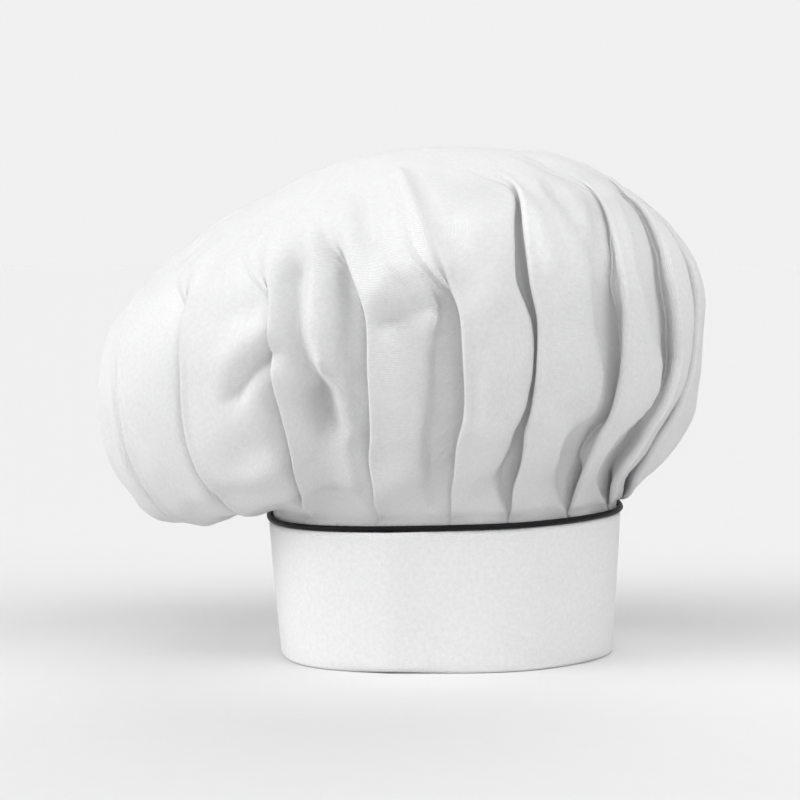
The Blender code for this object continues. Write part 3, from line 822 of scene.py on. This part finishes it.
def flap_face(angle):
    """How far the flap's inner face stands off the band's, and the flap's thickness."""
    settle = smooth((angle - FLAP_ROOT) / (FLAP_START - FLAP_ROOT))
    inner = -BAND_THICKNESS + settle * (BAND_THICKNESS - FLAP_ROOT_INSET)
    inner += (FLAP_STANDOFF + FLAP_ROOT_INSET) * jog_share(angle)
    return inner, BAND_THICKNESS + settle * (FLAP_THICKNESS - BAND_THICKNESS)


def flap_section(angle):
    """The flap's folded cloth: down the outer wall, round the lower fold, up the inner wall."""
    inner, thickness = flap_face(angle)
    from_end = math.radians(FLAP_END - angle) * FLAP_REACH
    rounding = math.sqrt(max(0, 1 - max(0, 1 - from_end / 1.2) ** 2))
    reach = max((thickness - CLOTH) / 2 * rounding, 0.04)
    top = band_top(angle) - 0.3
    fold = FLAP_BOTTOM + CLOTH / 2 + reach
    rows = [(reach, height, top - height) for height in np.linspace(top, fold, 22)]
    rows += [(reach * math.cos(bend), fold - reach * math.sin(bend), top + bend)
             for bend in half_turn(6)]
    rows += [(-reach, height, top + 4 + height) for height in np.linspace(fold, top, 16)]
    soft = unevenness(radial(angle, 97, np.array(rows)[:, 1]), FLAP_WAVES)
    return folded_cloth(angle, rows, inner + thickness / 2 + soft)


def flap_angles():
    """Bearings of the flap's sections: close together at its root, its jog and its end."""
    close = np.array([1.15, 0.9, 0.6, 0.35, 0.15, 0.04, 0]) / FLAP_REACH
    return np.concatenate([steps(FLAP_ROOT + ROOT_GAP, FLAP_JOG[1], 0.3),
                           steps(FLAP_JOG[1] + 0.8, FLAP_END - 1, 1.1),
                           FLAP_END - np.degrees(close)])


def strip_base(name, limits, inset):
    """The woven base of a hook or loop strip, with a sealed edge."""
    return sweep(name, steps(*limits, 0.8), tape_section(
        inset + STRIP_THICKNESS * 0.25, STRIP_THICKNESS * 0.22, lambda angle: STRIP_LOW,
        lambda angle: STRIP_HIGH, rows=20, edge=1, least=0.15))


def tuft(points, faces, root, lean, out, wide, path):
    """Add one hook or loop: a thin bent strip standing on the tape."""
    first, reach = len(points), 0.5 * STRIP_THICKNESS
    side = np.cross(lean, out) * wide
    for along, up in path:
        centre = root + (lean * along + out * up) * reach
        points += [centre - side, centre + side]
    faces += [(low, low + 1, low + 3, low + 2)
              for low in range(first, first + 2 * len(path) - 2, 2)]


def tape_pile(name, limits, inset, towards, kind):
    """The rows of hooks, or the brushed loops, on a strip."""
    points, faces = [], []
    wide, pitch, loose, seed, path = TUFTS[kind]
    generator = np.random.default_rng(seed)
    span = math.radians(limits[1] - limits[0]) * STRIP_RADIUS - 2 * STRIP_MARGIN
    surface = inset + STRIP_THICKNESS * (0.25 + towards * 0.2)
    for across in np.arange(0, span, pitch):
        for height in np.arange(STRIP_LOW + STRIP_MARGIN, STRIP_HIGH - 1, pitch):
            jitter = generator.uniform(-1, 1, 3) * loose
            angle = limits[0] + math.degrees((across + STRIP_MARGIN + jitter[0]) / STRIP_RADIUS)
            spin = jitter[2] * 2.5
            tuft(points, faces, band_point(angle, surface, height + jitter[1]),
                 radial(angle + 90, math.cos(spin), math.sin(spin)),
                 radial(angle, towards, 0), wide, path)
    pile = add_mesh(name, points, faces, np.zeros((len(points), 2)))
    thicken(pile, 0.07, towards=0)
    return pile


def bend_at_root(piece):
    """Bake a piece of the flap's placement into its mesh; the ends of its bend where it leaves the
    band are worked out but not used.
    """
    start, end = (tuple(AXIS + MM * band_point(angle, 0, BAND_HALF_WAY))
                  for angle in FLAP_BEND)
    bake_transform(piece)


def build_flap():
    """The flap's folded cloth, with the piping along its top edge."""
    flap = sweep("flap_cloth", flap_angles(), flap_section, sheet=True)
    middle = FLAP_STANDOFF + FLAP_THICKNESS / 2
    piping = piping_sheath(
        "flap_piping", steps(FLAP_ROOT + ROOT_GAP, FLAP_END, 0.5),
        lambda angle: -PIPING_INSET + (middle + PIPING_INSET) * jog_share(angle))
    finish_piece(flap, "band", "closure_flap", None)
    finish_piece(piping, "piping", "flap_piping_cover", None)
    bend_at_root(flap)
    bend_at_root(piping)
    return flap


def build_closure_stitches():
    inset = math.degrees(STITCH_INSET / BAND_BOTTOM_RADIUS)
    outside = FLAP_STANDOFF + FLAP_THICKNESS + 0.15
    strip = (STRIP_LOW + STITCH_INSET, STRIP_HIGH - STITCH_INSET)
    edge = (2 * STITCH_INSET, BAND_HEIGHT - BAND_TILT - STITCH_INSET)
    for name, limits, heights, standoff, body, node in (
            ("hook_stitches", HOOK_STRIP, strip, outside, "flap", "hook_strip_stitching"),
            ("flap_stitches", (FLAP_JOG[1], FLAP_END), edge, outside, "flap",
             "flap_edge_stitching"),
            ("loop_stitches", LOOP_STRIP, strip, -BAND_THICKNESS - 0.25, "hat_body",
             "loop_strip_stitching")):
        route = rectangle_route(limits[0] + inset, limits[1] - inset, *heights, standoff)
        sew(name, route, node, body)


def build_strips():
    hook_inset = FLAP_STANDOFF - CLEARANCE - STRIP_THICKNESS * 0.5
    for kind, pile, limits, inset, towards, body in (
            ("hook", "hook_rows", HOOK_STRIP, hook_inset, -1, "flap"),
            ("loop", "loop_pile", LOOP_STRIP, CLEARANCE, 1, "hat_body")):
        for piece in (strip_base(kind + "_tape", limits, inset),
                      tape_pile(pile, limits, inset, towards, kind)):
            finish_piece(piece, kind, kind + "_strip", body)


# ---- care label
LABEL_ANGLE, LABEL_HALF_ANGLE = 140, 8.4
LABEL_DROP, LABEL_HEIGHT = 10.5, 20
LABEL_THICKNESS, LABEL_INSET = 0.5, 3.4


def label_top(angle):
    return band_top(angle) - LABEL_DROP


def build_label():
    """A small satin label, stitched along its upper edge."""
    start, end = LABEL_ANGLE - LABEL_HALF_ANGLE, LABEL_ANGLE + LABEL_HALF_ANGLE
    half = LABEL_THICKNESS / 2
    label = sweep("label_cloth", steps(start, end, 0.6), tape_section(
        -LABEL_INSET - half, half, lambda angle: label_top(angle) - LABEL_HEIGHT, label_top,
        rows=16, edge=0.4, least=0.2))
    finish_piece(label, "label", "care_label", "label")
    route = level_route(start + 1.2, end - 1.2, -(LABEL_INSET + LABEL_THICKNESS + 0.1),
                        lambda angle: label_top(angle) - STITCH_INSET)
    sew("label_stitches", route, "care_label_stitching", "label", pitch=2.2)
    return label


# ---- materials
def new_material(name, colour, roughness, **gloss):
    """A Principled material, with other sockets' values by name."""
    material = bpy.data.materials.new(name)
    material.use_nodes = True
    shader = material.node_tree.nodes["Principled BSDF"]
    shader.inputs["Base Color"].default_value = (*colour, 1)
    shader.inputs["Roughness"].default_value = roughness
    for socket, value in gloss.items():
        shader.inputs[socket.replace("_", " ")].default_value = value
    return material, material.node_tree


def add_node(tree, kind, *values, **named):
    """Add a node, and feed its inputs with values or with other nodes' outputs."""
    node = tree.nodes.new("ShaderNode" + kind)
    fed = [*zip(node.inputs, values), *((node.inputs[name], named[name]) for name in named)]
    for socket, value in fed:
        if isinstance(value, bpy.types.NodeSocket):
            tree.links.new(value, socket)
        else:
            socket.default_value = value
    return node


def math_node(tree, operation, *values):
    node = add_node(tree, "Math", *values)
    node.operation = operation
    return node.outputs[0]


def plus(tree, base, amount, extra):
    """The sum of base and extra times amount."""
    return math_node(tree, "MULTIPLY_ADD", extra, amount, base)


def split(tree, place):
    """The X, Y and Z of a place."""
    return add_node(tree, "SeparateXYZ", place).outputs


def cloth_place(tree):
    """The cloth's flat coordinates, in metres: the place, and its parts across and along."""
    node = add_node(tree, "Attribute")
    node.attribute_name = "cloth"
    across, along, _ = split(tree, node.outputs["Vector"])
    return node.outputs["Vector"], across, along


def noise_node(tree, place, scale, detail=2):
    return add_node(tree, "TexNoise", Vector=place, Scale=scale, Detail=detail).outputs["Fac"]


def ribs(tree, first, second, slope, period):
    """Rounded ribs along a slanting direction, 0 in the furrow and 1 on the rib."""
    slanted = plus(tree, first, slope, second)
    turn = math_node(tree, "MULTIPLY", slanted, 2 * math.pi / period)
    return plus(tree, 0.5, 0.5, math_node(tree, "SINE", turn))


def raise_and_tint(material, height, strength, distance, fac, dark, light):
    """Raise the surface by height, and tint it between two colours by fac."""
    tree = material.node_tree
    relief = add_node(tree, "Bump", Strength=strength, Distance=distance, Height=height)
    ramp = add_node(tree, "ValToRGB", fac)
    for element, position, colour in zip(ramp.color_ramp.elements, (0.3, 0.7), (dark, light)):
        element.position = position
        element.color = (*colour, 1)
    shader = tree.nodes["Principled BSDF"]
    tree.links.new(relief.outputs["Normal"], shader.inputs["Normal"])
    tree.links.new(ramp.outputs["Color"], shader.inputs["Base Color"])
    return material


def twill_material(name, strength):
    """White cotton twill: slanting ribs, threads across them, slubs and soft creasing."""
    material, tree = new_material(name, (0.83, 0.83, 0.835), 0.88, Sheen_Weight=0.12,
                                  Sheen_Roughness=0.5, Specular_IOR_Level=0.25)
    place, across, along = cloth_place(tree)
    rib = ribs(tree, across, along, 1.4, 0.0015)
    thread = ribs(tree, along, across, -0.5, 0.00093)
    slub = noise_node(tree, place, 420, 3)
    cloth = plus(tree, rib, 0.35, thread)
    worn = plus(tree, cloth, 1.1, slub)
    full = plus(tree, worn, 1.6, noise_node(tree, place, 70, 4))
    shade = plus(tree, math_node(tree, "MULTIPLY", slub, 0.6), 0.3, cloth)
    return raise_and_tint(material, full, strength, 0.0003, shade, (0.775, 0.775, 0.785),
                          (0.87, 0.87, 0.87))


def satin_material(name, colour, light, roughness, gloss):
    """Bias-cut satin: fine slanting yarns with a soft gloss."""
    material, tree = new_material(name, colour, roughness, Specular_IOR_Level=gloss)
    place, across, along = cloth_place(tree)
    soft = noise_node(tree, place, 260)
    full = plus(tree, ribs(tree, across, along, 1, 0.0005), 1.2, soft)
    return raise_and_tint(material, full, 0.35, 0.0001, soft, colour, light)


def tape_material(name, colour):
    """Herringbone seam tape: ribs that turn back along the tape's middle."""
    material, tree = new_material(name, colour, 0.8)
    place, across, along = cloth_place(tree)
    folded = math_node(tree, "PINGPONG", along, 0.003)
    rib = ribs(tree, across, folded, 1, 0.0016)
    full = plus(tree, rib, 0.8, noise_node(tree, place, 500))
    dark = tuple(0.92 * part for part in colour)
    return raise_and_tint(material, full, 0.6, 0.0002, full, dark, colour)


def thread_material(name):
    """Twisted sewing thread."""
    material, tree = new_material(name, (0.9, 0.9, 0.9), 0.55)
    twist = ribs(tree, *cloth_place(tree)[1:], 1.2, 0.0004)
    return raise_and_tint(material, twist, 0.5, 0.0001, twist, (0.82, 0.82, 0.82),
                          (0.92, 0.92, 0.92))


def grain_material(name, colour, roughness, scale, strength, shade=0.12):
    """A fibrous or matted surface, placed by the object's own coordinates."""
    material, tree = new_material(name, colour, roughness)
    fine = noise_node(tree, add_node(tree, "TexCoord").outputs["Object"], scale, 6)
    dark = tuple((1 - shade) * part for part in colour)
    return raise_and_tint(material, fine, strength, 0.0003, fine, dark, colour)


def cord_material(name):
    """A twisted cotton filler cord, with strands that climb as they go round."""
    material, tree = new_material(name, (0.8, 0.78, 0.74), 0.9)
    across, _, up = split(tree, add_node(tree, "TexCoord").outputs["Object"])
    strand = ribs(tree, across, up, 1.6, 0.0011)
    return raise_and_tint(material, strand, 0.7, 0.0003, strand, (0.68, 0.66, 0.62),
                          (0.82, 0.8, 0.76))


def make_looks():
    """Each look's material, with the record's material slot for it."""
    return {
        "crown": (twill_material("cotton_twill", 0.8), "white_cotton"),
        "band": (twill_material("band_twill", 0.6), "white_cotton"),
        "piping": (satin_material("piping_satin", (0.004, 0.004, 0.005), (0.008, 0.008, 0.009),
                                  0.45, 0.15), "black_satin"),
        "label": (satin_material("label_satin", (0.88, 0.88, 0.87), (0.93, 0.93, 0.92), 0.35,
                                 0.5), "label_satin"),
        "tape": (tape_material("seam_tape", (0.85, 0.85, 0.86)), "seam_tape"),
        "thread": (thread_material("sewing_thread"), "white_thread"),
        "hook": (grain_material("hook_nylon", (0.85, 0.85, 0.86), 0.4, 900, 0.2), "hook_tape"),
        "loop": (grain_material("loop_nylon", (0.88, 0.88, 0.88), 0.95, 700, 0.4), "loop_tape"),
    }


LOOKS = make_looks()


def coat(piece, material):
    piece.data.materials.clear()
    piece.data.materials.append(material)


def finish_piece(piece, look, node, body="hat_body"):
    """Say what a piece is made of, what it replaces, and what it rides on when it is given a body.
    """
    material, slot = LOOKS[look]
    coat(piece, material)
    if body:
        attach(piece, body)
    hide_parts(node)


# ---- stage
# (bearing, height in degrees, spread in degrees, strength) of each soft lamp
SOFT_LAMPS = ((198, 28, 30, 4.5), (245, 56, 35, 2), (270, 15, 35, 0.3),
              (328, 46, 35, 2.6), (80, 40, 34, 2))
WALL_TOP, WALL_EDGE, WALL_BRIGHT, CEILING_BRIGHT = 0.14, 0.04, 0.875, 0.06
FLOOR_HALF = 8
CAMERA_PLACE = (-27, -1600, 262)
CAMERA_TILT = 4.3
CAMERA_LENS = 126.2


def map_range(tree, value, *limits):
    """Ease value from its first two limits to the last two."""
    node = add_node(tree, "MapRange", value, *limits)
    node.interpolation_type = "SMOOTHSTEP"
    return node.outputs["Result"]


def build_studio():
    """A round white studio: pale walls, a dim ceiling, and large soft lamps far away."""
    world = bpy.data.worlds.new("studio")
    world.use_nodes = True
    tree = world.node_tree
    place = add_node(tree, "TexCoord").outputs["Generated"]
    total = map_range(tree, split(tree, place)[2], WALL_TOP, WALL_TOP + WALL_EDGE, WALL_BRIGHT,
                      CEILING_BRIGHT)
    for bearing, rise, spread, strength in SOFT_LAMPS:
        lamp = radial(bearing, math.cos(math.radians(rise)), math.sin(math.radians(rise)))
        towards = add_node(tree, "VectorMath", place, lamp)
        towards.operation = "DOT_PRODUCT"
        glow = map_range(tree, towards.outputs["Value"], math.cos(math.radians(spread)), 1,
                         0, strength)
        total = math_node(tree, "ADD", total, glow)
    background = tree.nodes["Background"]
    background.inputs["Color"].default_value = (1, 1, 1, 1)
    tree.links.new(total, background.inputs["Strength"])
    bpy.context.scene.world = world


def build_stage():
    """The floor and the studio round it."""
    corners = [(x * FLOOR_HALF, y * FLOOR_HALF, 0)
               for x, y in ((-1, -1), (1, -1), (1, 1), (-1, 1))]
    mesh = bpy.data.meshes.new("floor")
    mesh.from_pydata(corners, [], [(0, 1, 2, 3)])
    mesh.materials.append(grain_material("floor_paint", (0.74, 0.74, 0.74), 0.95, 60, 0.02,
                                         shade=0.01))
    add_object("floor", mesh)
    build_studio()
    bpy.context.scene.view_settings.view_transform = "Standard"


def build_camera():
    lens = bpy.data.cameras.new("camera")
    lens.lens = CAMERA_LENS
    lens.sensor_width = 36
    lens.clip_end = 50
    camera = add_object("camera", lens)
    camera.location = Vector(AXIS) + Vector(CAMERA_PLACE) * MM
    camera.rotation_euler = (math.radians(90 - CAMERA_TILT), 0, 0)
    bpy.context.scene.camera = camera


# ---- assembly
def build_hat():
    crown = build_crown()
    finish_piece(crown, "crown", "crown")
    band = build_headband()
    finish_piece(band, "band", "headband")
    piping = piping_sheath("seam_piping", steps(SEAM_START, BAND_END, 0.6),
                           lambda angle: -PIPING_INSET)
    finish_piece(piping, "piping", "piping_cover")
    build_seam_inside()
    flap = build_flap()
    build_closure_stitches()
    build_strips()
    label = build_label()

    nodes = frame["nodes"]
    coat(nodes["band_interlining"], grain_material("interlining_fleece", (0.84, 0.84, 0.82),
                                                   0.95, 1500, 0.5))
    cord = cord_material("twisted_cord")
    for name in ("piping_cord", "flap_piping_cord"):
        coat(nodes[name], cord)


build_hat()
build_stage()
build_camera()
